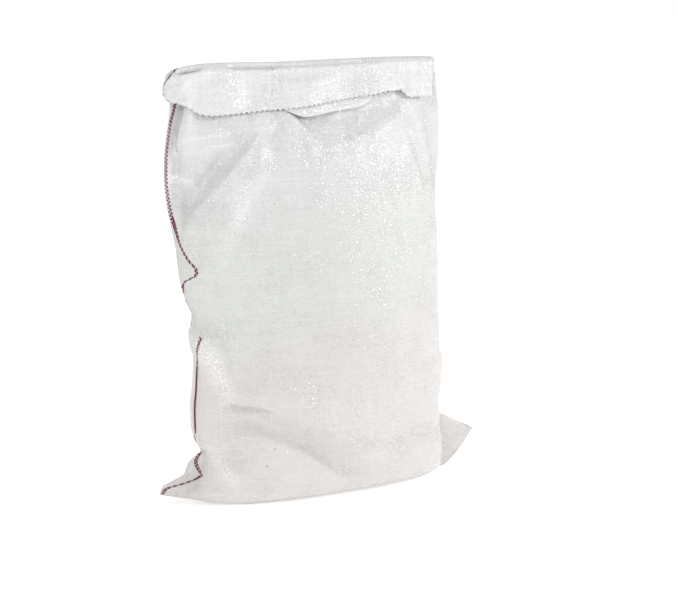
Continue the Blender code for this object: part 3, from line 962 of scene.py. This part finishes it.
def fill_ramp(ramp, stops):
    """Set a colour ramp's stops from (place, colour) pairs."""
    while len(ramp.elements) < len(stops):
        ramp.elements.new(0.5)
    for element, (place, colour) in zip(ramp.elements, stops):
        element.position = place
        element.color = colour


def new_material(name):
    """An empty material; return it with its tree and its Principled shader."""
    material = bpy.data.materials.new(name)
    material.use_nodes = True
    tree = material.node_tree
    return material, tree, tree.nodes["Principled BSDF"]


def feed(tree, shader, **sockets):
    """Link or set the shader's sockets; an underscore stands for a space in their names."""
    for name, value in sockets.items():
        socket = shader.inputs[name.replace("_", " ")]
        if isinstance(value, Value):
            tree.links.new(value.socket, socket)
        else:
            socket.default_value = value


def mix_colour(tree, factor, first, second, blend="MIX"):
    """Blend two colours through a Mix node."""
    settings = {"data_type": "RGBA", "blend_type": blend}
    return node(tree, "ShaderNodeMix", settings, {0: factor, 6: first, 7: second}, output=2)


def noise(tree, place, scale, detail=2.0, roughness=0.5):
    """Soft noise around 0.5 at a place given by a vector."""
    inputs = {"Vector": place, "Scale": scale, "Detail": detail, "Roughness": roughness}
    return node(tree, "ShaderNodeTexNoise", None, inputs)


def scatter(tree, value, other):
    """A random number from 0 to 1 for each whole pair of values."""
    place = node(tree, "ShaderNodeCombineXYZ", None, {0: value, 1: other})
    return node(tree, "ShaderNodeTexWhiteNoise", {"noise_dimensions": "2D"}, {"Vector": place})


def smooth_range(tree, value, low, high, bottom=0.0, top=1.0):
    """Carry the span from low to high over to bottom to top, eased at both ends and held beyond."""
    inputs = {"Value": value, "From Min": low, "From Max": high, "To Min": bottom, "To Max": top}
    return node(tree, "ShaderNodeMapRange", {"interpolation_type": "SMOOTHSTEP"}, inputs)


def bump(tree, height, distance, strength=1.0, **normal):
    """A normal that follows a height in metres times distance, over another normal if given."""
    inputs = {"Strength": strength, "Distance": distance, "Height": height, **normal}
    return node(tree, "ShaderNodeBump", None, inputs)


def object_place(tree):
    """The place of a point in its object's own axes."""
    return node(tree, "ShaderNodeTexCoord", output="Object")


def rgba(colour, share=1.0):
    """A share of a colour, with its fourth part."""
    return (*(share * part for part in colour), 1.0)


# Weave: its relief, the crinkled cloth's, the tilt of the calm and of the lively tapes, the
# slant along each tape, and what sets the arch of a tape between its crossings
WEAVE_RELIEF = 0.00024
CRINKLE_RELIEF = 0.0007
TAPE_TILT = (2.6, 7.0)
STREAK_TILT = 8.0
TAPE_ARCH = (0.55, 0.45)
# Noises of the cloth as scale, detail and roughness, and the spans that two of them cover
WEAR_NOISE = (1.0, 2.0, 0.6)
CLUMP_NOISE = (16.0, 3.0)
CLOUD_NOISE = (9.0, 3.0)
STREAK_NOISE = (260.0, 3.0, 0.7)
CRINKLE_NOISE = (38.0, 4.0, 0.55)
CLUMP_SPAN = (0.44, 0.62)
STREAK_SPAN = (0.40, 0.62)
# Wear along the tapes: its length, how far apart tapes and the two sets lie in the noise, and
# from where it shows
WEAR_LENGTH = 0.090
TAPE_APART = 7.37
SETS_APART = 400.0
WEAR_FROM = 0.47
# Shades: of plain cloth, by the wear of warp and weft, by the cell, where it lies double and
# over what length that begins
PLAIN_SHADE = 0.98
WARP_SHADE = 0.40
WEFT_SHADE = 0.36
CELL_SHADE = 0.035
CELL_DRAWS = 7.0
DOUBLED_SHADE = 0.05
DOUBLED_OVER = 0.030
# Tints by height, how far the clouds and the slant across move them, gloss and refraction
TINT_STOPS = (0.10, 0.26, 0.34, 0.46, 0.54)
CLOUD_SWAY = 0.16
TINT_SLANT = 0.10
CLOTH_ROUGHNESS = (0.12, 0.10)
PLASTIC_IOR = 1.49
# Middle and half sizes of a soft spot of painted shade on the middle of the front, partly the fill seen
# through the cloth, and by what share
FILL_AND_PAINTED_SHADE = (-0.055, 0.370, 0.125, 0.260, 0.07)
# Painted glints, lighter streaks along creases that stand for highlights: middle, slant in degrees,
# half length, half width and share
PAINTED_GLINTS = (
    (-0.221, 0.243, -72.0, 0.058, 0.012, 0.40),
    (-0.213, 0.080, -58.0, 0.045, 0.010, 0.30),
    (-0.256, 0.541, -16.0, 0.020, 0.006, 0.40),
    (-0.196, 0.611, 7.0, 0.055, 0.003, 0.26),
    (-0.190, 0.593, 8.0, 0.060, 0.003, 0.22),
    (-0.173, 0.518, -109.0, 0.082, 0.013, 0.24),
)
# Dark specks: middle and radius, and their shade
SPECKS = ((-0.132, 0.105, 0.0016), (-0.146, 0.077, 0.0019), (0.149, 0.175, 0.0014))
SPECK_SHADE = 0.35


def tape_wear(tree, tape, along):
    """A soft random run along each tape, from 0 to 1: it differs from tape to tape."""
    place = node(tree, "ShaderNodeCombineXYZ", None, {0: tape * TAPE_APART, 1: along / WEAR_LENGTH})
    return noise(tree, place, *WEAR_NOISE)


def woven_surface(tree, uv):
    """Plain weave of flat tapes: its height, a shade for each tape and each cell's own number.

    Cells show the warp and the weft by turns. A tape is 1 less a fourth power across it, times
    half a sine wave along it. Each cell leans by its own numbers, more in lively clumps, and
    each tape slants with the wear along it.
    """
    place = node(tree, "ShaderNodeSeparateXYZ", None, {0: uv})
    u, v = place / TAPE_PITCH, place.output(1) / TAPE_PITCH
    i, j = u.floor(), v.floor()
    fu, fv = u - i, v - j
    over = (i + j).remainder(2.0)
    under = 1.0 - over
    across = fu * over + fv * under
    along = fv * over + fu * under
    flat = 1.0 - (across * 2.0 - 1.0) ** 4.0
    wave, base = TAPE_ARCH
    arch = (along * math.pi).sine() * wave + base
    own = scatter(tree, i, j)
    warp = tape_wear(tree, i, place.output(1))
    weft = tape_wear(tree, j + SETS_APART, place.output(0))
    lively = smooth_range(tree, noise(tree, uv, *CLUMP_NOISE), *CLUMP_SPAN, *TAPE_TILT)
    second = (own * CELL_DRAWS).remainder(1.0)
    tilt = ((own - 0.5) * (along - 0.5) + (second - 0.5) * (across - 0.5)) * lively
    streak = (warp - 0.5) * (fu - 0.5) * over + (weft - 0.5) * (fv - 0.5) * under
    warp_wear = (warp - WEAR_FROM).at_least(0.0) * over * WARP_SHADE
    weft_wear = (weft - WEAR_FROM).at_least(0.0) * under * WEFT_SHADE
    shade = PLAIN_SHADE + warp_wear + weft_wear + (own - 0.5) * CELL_SHADE
    return flat * arch + tilt + streak * STREAK_TILT, shade, own


def soft_spot(across, along):
    """A bell in two directions: 1 in the middle and about a third at distance 1."""
    return ((across ** 2.0 + along ** 2.0) * -1.0).exponent()


def cloth_material(colours, doubled_from):
    """Glossy white tapes whose white warms towards the bottom, where the fill shows through.

    From the height doubled_from up the cloth it lies double, and looks whiter. A soft spot of
    painted shade darkens the middle of the front, partly the fill seen through the cloth; specks
    of dirt make three small ones, and painted glints along creases are long lighter soft spots
    broken up by noise.
    """
    material, tree, shader = new_material("woven_polypropylene")
    place = object_place(tree)
    uv = node(tree, "ShaderNodeUVMap", {"uv_map": "weave"})
    height, shade, own = woven_surface(tree, uv)
    across = node(tree, "ShaderNodeSeparateXYZ", None, {0: place})
    level = across.output(2)
    cloud = noise(tree, place, *CLOUD_NOISE)
    zone = level + (cloud - 0.5) * CLOUD_SWAY - across * TINT_SLANT
    tints = (colours.low, colours.low, colours.middle, colours.middle, colours.cloth)
    stops = [(stop, rgba(tint)) for stop, tint in zip(TINT_STOPS, tints)]
    tint = node(tree, "ShaderNodeValToRGB", {"stops": stops}, {0: zone})
    up_it = node(tree, "ShaderNodeSeparateXYZ", None, {0: uv}, output=1)
    doubled = smooth_range(tree, up_it, doubled_from, doubled_from + DOUBLED_OVER)
    shade = shade * (doubled * DOUBLED_SHADE + 1.0)
    # Painted shade: one soft darker spot on the middle of the front, partly the fill seen through the
    # cloth
    x, z, half_wide, half_high, share = FILL_AND_PAINTED_SHADE
    shade = shade - soft_spot((across - x) / half_wide, (level - z) / half_high) * share
    for x, z, radius in SPECKS:
        shade = shade - soft_spot((across - x) / radius, (level - z) / radius) * SPECK_SHADE
    # Painted glints: long lighter spots along creases, broken up by noise
    streaks = smooth_range(tree, noise(tree, uv, *STREAK_NOISE), *STREAK_SPAN)
    for x, z, turn, half_long, half_short, share in PAINTED_GLINTS:
        c, s = math.cos(math.radians(turn)), math.sin(math.radians(turn))
        right, up = across - x, level - z
        spot = soft_spot((right * c + up * s) / half_long, (up * c - right * s) / half_short)
        shade = shade + spot * streaks * share
    grey = node(tree, "ShaderNodeCombineColor", None, {0: shade, 1: shade, 2: shade})
    colour = mix_colour(tree, 1.0, tint, grey, "MULTIPLY")
    creased = bump(tree, noise(tree, uv, *CRINKLE_NOISE), CRINKLE_RELIEF)
    normal = bump(tree, height, WEAVE_RELIEF, Normal=creased)
    gloss, uneven = CLOTH_ROUGHNESS
    feed(tree, shader, Base_Color=colour, Roughness=gloss + own * uneven, Normal=normal)
    feed(tree, shader, Metallic=0.0, IOR=PLASTIC_IOR)
    return material


# Small pieces: noises as scale and detail, the share of a colour that its dark parts keep,
# relief as distance and strength, and roughness as its least and its spread
TAPE_NOISE = (240.0, 2.0)
TAPE_DARK = 0.6
TAPE_RELIEF = (0.0002, 0.5)
TAPE_ROUGHNESS = (0.34, 0.12)
THREAD_TWIST = (9000.0, 5000.0)
# Share of the thread's colour kept where its twist is low: painted shade in the grooves
THREAD_PAINTED_SHADE = 0.8
THREAD_RELIEF = (0.0002, 0.6)
THREAD_ROUGHNESS = 0.62
BLOTCH_NOISE = (28.0, 3.0)
GRIT_NOISE = (420.0, 4.0)
BRICK = (0.34, 0.16, 0.10)
MORTAR = (0.55, 0.52, 0.48)
DUST = (0.62, 0.60, 0.56)
MASONRY_STOPS = (0.36, 0.46, 0.60)
DUST_SHARE = 0.35
MASONRY_RELIEF = (0.0015, 0.8)
MASONRY_ROUGHNESS = (0.86, 0.1)
FLOOR_NOISE = (3.0,)
FLOOR_DARK = 0.99
FLOOR_ROUGHNESS = 0.9


def tape_material(name, colour):
    """A coloured tape: the same plastic, streaked a little along its length."""
    material, tree, shader = new_material(name)
    streak = noise(tree, object_place(tree), *TAPE_NOISE)
    tint = mix_colour(tree, streak, rgba(colour, TAPE_DARK), rgba(colour))
    ripple = bump(tree, streak, *TAPE_RELIEF)
    least, spread = TAPE_ROUGHNESS
    feed(tree, shader, Base_Color=tint, Roughness=least + streak * spread, Normal=ripple, Metallic=0.0)
    return material


def thread_material(colour):
    """Spun white thread with a slanted twist: a sine wave of two directions, from 0 to 1.

    Where the twist is low its colour is darker: painted shade in the grooves.
    """
    material, tree, shader = new_material("sewing_thread")
    x = node(tree, "ShaderNodeSeparateXYZ", None, {0: object_place(tree)})
    along, around = THREAD_TWIST
    twist = (x * along + x.output(1) * around).sine() * 0.5 + 0.5
    # Painted shade: the twist's low parts are darker
    tint = mix_colour(tree, twist, rgba(colour, THREAD_PAINTED_SHADE), rgba(colour))
    ridges = bump(tree, twist, *THREAD_RELIEF)
    feed(tree, shader, Base_Color=tint, Roughness=THREAD_ROUGHNESS, Normal=ridges, Metallic=0.0)
    return material


def rubble_material(colour):
    """Broken masonry: dusty blotches of brick, mortar and stone."""
    material, tree, shader = new_material("broken_rubble")
    place = object_place(tree)
    blotch = noise(tree, place, *BLOTCH_NOISE)
    grit = noise(tree, place, *GRIT_NOISE)
    stops = [(stop, rgba(tint)) for stop, tint in zip(MASONRY_STOPS, (BRICK, colour, MORTAR))]
    tint = node(tree, "ShaderNodeValToRGB", {"stops": stops}, {0: blotch})
    dusty = mix_colour(tree, grit * DUST_SHARE, tint, rgba(DUST))
    rough = bump(tree, grit, *MASONRY_RELIEF)
    least, spread = MASONRY_ROUGHNESS
    feed(tree, shader, Base_Color=dusty, Roughness=least + grit * spread, Normal=rough, Metallic=0.0)
    return material


def floor_material(colour):
    """Plain pale floor, with the faintest unevenness, lit a little from below like a light table."""
    material, tree, shader = new_material("pale_floor")
    grain = noise(tree, object_place(tree), *FLOOR_NOISE)
    tint = mix_colour(tree, grain, rgba(colour, FLOOR_DARK), rgba(colour))
    feed(tree, shader, Base_Color=tint, Roughness=FLOOR_ROUGHNESS, Metallic=0.0)
    feed(tree, shader, Emission_Color=rgba((1.0, 1.0, 1.0)), Emission_Strength=FLOOR_GLOW)
    return material


def amount_property(name, description, default, least=0.0, **more):
    """A number with a least value."""
    return bpy.props.FloatProperty(
        name=name, description=description, default=default, min=least, **more
    )


def colour_property(name, description, default):
    """A linear colour with three parts."""
    return bpy.props.FloatVectorProperty(
        name=name, description=description, default=default, size=3, min=0.0, max=1.0, subtype="COLOR"
    )


class RubbleSackSizes(bpy.types.PropertyGroup):
    settle: bpy.props.BoolProperty(
        name="Settle the cloth",
        description="Let the cloth settle over the fill before it is woven",
        default=True,
    )
    pressure: amount_property("Fill pressure", "How hard the fill pushes the cloth outwards", 0.2)
    growth: amount_property(
        "Slack", "Share by which the cloth is longer than its shape", 0.008, max=0.1, subtype="FACTOR"
    )
    fill: amount_property(
        "Fullness", "How tight the filled sack is, from slack to tight", 0.85, max=1.0, subtype="FACTOR"
    )


class RubbleSackColours(bpy.types.PropertyGroup):
    cloth: colour_property("Cloth", "White of the upper cloth", (0.655, 0.655, 0.655))
    middle: colour_property("Middle", "Cloth half way down, a little green", (0.645, 0.658, 0.628))
    low: colour_property("Bottom", "Cloth over the fill, a little pink", (0.665, 0.638, 0.620))
    red: colour_property("Red tape", "First tracer tape", (0.270, 0.000, 0.055))
    blue: colour_property("Blue tape", "Second tracer tape", (0.070, 0.000, 0.095))
    thread: colour_property("Thread", "Sewing thread of the bottom seam", (0.72, 0.71, 0.68))
    rubble: colour_property("Rubble", "Broken masonry inside", (0.42, 0.37, 0.33))
    floor: colour_property("Floor", "Pale studio floor", (0.97, 0.97, 0.97))


class RubbleSackStage(bpy.types.PropertyGroup):
    sky: amount_property("Room light", "Strength of the even light all round", 0.78)
    key: amount_property("Right softbox", "Power of the light at the right", 30.0)
    side: amount_property("Left softbox", "Power of the light at the left", 17.0)
    lens: amount_property("Lens", "Focal length in mm on a sensor 36 mm wide", 89.2, least=1.0)


class MESH_OT_woven_sack(bpy.types.Operator):
    """Build the woven sack: folded, settled and closed"""

    bl_idname = "mesh.rubble_sack_cloth"
    bl_label = "Woven sack"

    def execute(self, context):
        sizes, colours = context.scene.rubble_sack_sizes, context.scene.rubble_sack_colours
        points = cloth_points(sizes.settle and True, sizes.pressure, sizes.growth)
        cloth = skin_object("sack_cloth", points, FRONT_COLUMNS)
        offset = blended(tracer_offsets(BODY_ROWS, BEND_ROWS, FLAP_ROWS), UV_BLEND)
        weave_uv(cloth, points, FRONT_COLUMNS, offset)
        _, up_it = weave_lengths(points, FRONT_COLUMNS)
        doubled_from = float(up_it[len(SEAM_SHARES) + BODY_ROWS])
        cloth.data.materials.append(cloth_material(colours, doubled_from))
        add_tapes(points, colours)
        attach(cloth, "root")
        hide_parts("woven_sack")
        return {"FINISHED"}


def add_tapes(points, colours):
    """The two coloured tapes, woven in beside the side fold of the finished cloth."""
    for name, side, colour, stands_for, slot in (
        ("red_tracer", 1, colours.red, "red_tracer_tape", "tracer_red"),
        ("blue_tracer", -1, colours.blue, "blue_tracer_tape", "tracer_blue"),
    ):
        tape = tube_object(name, tracer_points(points, side))
        tape.data.materials.append(tape_material(slot, tuple(colour)))
        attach(tape, "root")
        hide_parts(stands_for)


class MESH_OT_rubble(bpy.types.Operator):
    """Build the heap of broken masonry inside the sack"""

    bl_idname = "mesh.rubble_sack_fill"
    bl_label = "Rubble"

    def execute(self, context):
        heap = tube_object("broken_masonry", rubble_points(*RUBBLE_GRID))
        heap.data.shade_smooth()
        heap.data.materials.append(rubble_material(context.scene.rubble_sack_colours.rubble))
        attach(heap, "root")
        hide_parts("rubble_fill")
        return {"FINISHED"}


class MESH_OT_seam_thread(bpy.types.Operator):
    """Build the sewing thread of the bottom seam"""

    bl_idname = "mesh.rubble_sack_thread"
    bl_label = "Seam thread"

    def execute(self, context):
        thread = tube_object("seam_stitches", thread_points())
        thread.data.shade_smooth()
        thread.data.materials.append(thread_material(context.scene.rubble_sack_colours.thread))
        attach(thread, "root")
        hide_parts("bottom_seam_thread")
        return {"FINISHED"}


# Floor's own light, camera, and the distance from the middle of the floor to its edges
FLOOR_GLOW = 0.35
SENSOR_WIDTH = 36.0
CAMERA_PLACE = (-1.264, -2.4385, 0.9039)
CAMERA_TURN = (math.radians(77.76), 0.0, math.radians(-27.90))
FLOOR_REACH = 45.0
# Softboxes: place, target and size; the room's light over the horizon and straight above
RIGHT_SOFTBOX = ((2.2, -1.5, 1.45), (0.0, 0.0, 0.36), 0.40)
LEFT_SOFTBOX = ((-1.8, -1.7, 1.8), (0.0, 0.0, 0.36), 0.60)
ROOM_SHADE = ((0.0, 1.0), (0.25, 0.95), (1.0, 0.80))


def room_light(strength):
    """Even light all round, brightest at the horizon and dimmer straight above."""
    world = bpy.data.worlds.new("room")
    world.use_nodes = True
    tree = world.node_tree
    way = node(tree, "ShaderNodeTexCoord")
    up = node(tree, "ShaderNodeSeparateXYZ", None, {0: way}, output=2)
    stops = tuple((place, rgba((shade,) * 3)) for place, shade in ROOM_SHADE)
    shade = node(tree, "ShaderNodeValToRGB", {"stops": stops}, {0: up})
    background = tree.nodes["Background"]
    tree.links.new(shade.socket, background.inputs["Color"])
    background.inputs["Strength"].default_value = strength
    return world


def soft_light(name, place, target, size, power):
    """A square area light that faces a point."""
    lamp = bpy.data.lights.new(name, "AREA")
    lamp.shape = "SQUARE"
    lamp.size = size
    lamp.energy = power
    item = new_object(name, lamp)
    item.location = place
    away = np.array(place) - np.array(target)
    item.rotation_euler = (
        math.atan2(math.hypot(away[0], away[1]), away[2]),
        0.0,
        math.atan2(away[1], away[0]) + math.pi / 2,
    )


class SCENE_OT_sack_stage(bpy.types.Operator):
    """Build the stage: floor, even room light, two softboxes and the camera"""

    bl_idname = "scene.rubble_sack_stage"
    bl_label = "Stage"

    def execute(self, context):
        scene = context.scene
        stage = scene.rubble_sack_stage
        mesh = bpy.data.meshes.new("studio_floor")
        corners = [(-1, -1, 0), (1, -1, 0), (1, 1, 0), (-1, 1, 0)]
        mesh.from_pydata(np.array(corners) * FLOOR_REACH, [], [(0, 1, 2, 3)])
        floor = new_object("studio_floor", mesh)
        mesh.materials.append(floor_material(scene.rubble_sack_colours.floor))
        scene.world = room_light(stage.sky)
        soft_light("right_softbox", *RIGHT_SOFTBOX, stage.key)
        soft_light("left_softbox", *LEFT_SOFTBOX, stage.side)
        lens = bpy.data.cameras.new("camera")
        lens.sensor_width = SENSOR_WIDTH
        lens.lens = stage.lens
        camera = new_object("camera", lens)
        camera.location = PLACE + CAMERA_PLACE
        camera.rotation_euler = CAMERA_TURN
        scene.camera = camera
        scene.view_settings.view_transform = "Standard"
        scene.view_settings.exposure = 0.0
        return {"FINISHED"}


class VIEW3D_PT_rubble_sack(bpy.types.Panel):
    """Sidebar panel that lists the sack's sizes, colours and pieces"""

    bl_label = "Rubble sack"
    bl_space_type = "VIEW_3D"
    bl_region_type = "UI"
    bl_category = "Rubble sack"

    def draw(self, context):
        scene = context.scene
        for group in (scene.rubble_sack_sizes, scene.rubble_sack_colours, scene.rubble_sack_stage):
            box = self.layout.box()
            for name in group.__annotations__:
                box.prop(group, name)
        for operator in OPERATORS:
            self.layout.operator(operator.bl_idname)


OPERATORS = (MESH_OT_woven_sack, MESH_OT_rubble, MESH_OT_seam_thread, SCENE_OT_sack_stage)
GROUPS = (
    ("rubble_sack_sizes", RubbleSackSizes),
    ("rubble_sack_colours", RubbleSackColours),
    ("rubble_sack_stage", RubbleSackStage),
)


def register():
    for name, group in GROUPS:
        bpy.utils.register_class(group)
        setattr(bpy.types.Scene, name, bpy.props.PointerProperty(type=group))
    for item in OPERATORS + (VIEW3D_PT_rubble_sack,):
        bpy.utils.register_class(item)


def unregister():
    for item in (VIEW3D_PT_rubble_sack,) + OPERATORS[::-1]:
        bpy.utils.unregister_class(item)
    for name, group in GROUPS[::-1]:
        delattr(bpy.types.Scene, name)
        bpy.utils.unregister_class(group)


def main():
    """Build every piece in order."""
    register()
    bpy.ops.mesh.rubble_sack_cloth()
    bpy.ops.mesh.rubble_sack_fill()
    bpy.ops.mesh.rubble_sack_thread()
    bpy.ops.scene.rubble_sack_stage()


if __name__ == "__main__":
    main()
